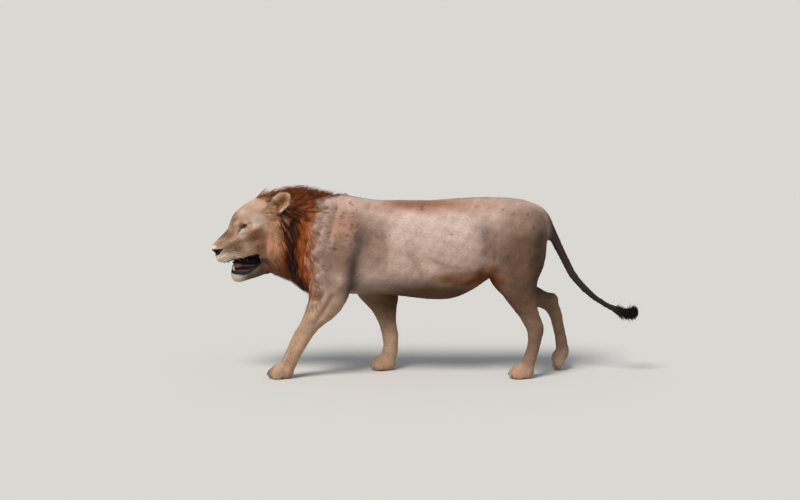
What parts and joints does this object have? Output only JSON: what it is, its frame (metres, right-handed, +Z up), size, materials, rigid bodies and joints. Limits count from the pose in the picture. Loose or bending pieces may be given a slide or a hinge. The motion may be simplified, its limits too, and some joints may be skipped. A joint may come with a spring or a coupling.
{
  "type": "lion",
  "caption": "Life-size young male lion in mid walk with its mouth half open, short mane, tail held out behind and ending in a dark tuft.",
  "frame": {"origin": "on the floor under the middle of the model's bounding box", "axes": "+Z up, the lion faces -X, its left side faces -Y"},
  "size_m": [2.3128, 0.406, 1.0433],
  "materials": {
    "body_fur": "short, flat, sandy fur with a rosy tone, paler below",
    "face_fur": "very short fur, grey-brown on the bridge, pale on lips and chin",
    "mane_fur": "long red-brown hair, darker low on the throat",
    "tuft_fur": "long blackish hair at the tail's end",
    "eye_amber": "wet glossy eyeball with an amber iris and a round dark pupil",
    "nose_leather": "dark, finely pebbled, slightly moist skin",
    "tongue_flesh": "moist pink-brown flesh",
    "tooth_ivory": "smooth ivory-coloured enamel"
  },
  "bodies": {
    "root": {"head": "face_fur", "lower_jaw": "face_fur", "neck": "mane_fur", "chest": "body_fur", "belly": "body_fur", "rump": "body_fur", "left_upper_arm": "body_fur", "left_forearm": "body_fur", "left_forepaw": "body_fur", "right_upper_arm": "body_fur", "right_forearm": "body_fur", "right_forepaw": "body_fur", "left_thigh": "body_fur", "left_shank": "body_fur", "left_hock": "body_fur", "left_hind_paw": "body_fur", "right_thigh": "body_fur", "right_shank": "body_fur", "right_hock": "body_fur", "right_hind_paw": "body_fur", "tail_base": "body_fur", "tail_middle": "body_fur", "tail_end": "body_fur", "tail_tuft": "tuft_fur", "left_ear": "face_fur", "right_ear": "face_fur", "left_eye": "eye_amber", "right_eye": "eye_amber", "nose": "nose_leather", "tongue": "tongue_flesh", "left_upper_canine": "tooth_ivory", "right_upper_canine": "tooth_ivory", "left_lower_canine": "tooth_ivory", "right_lower_canine": "tooth_ivory"}
  },
  "joints": []
}
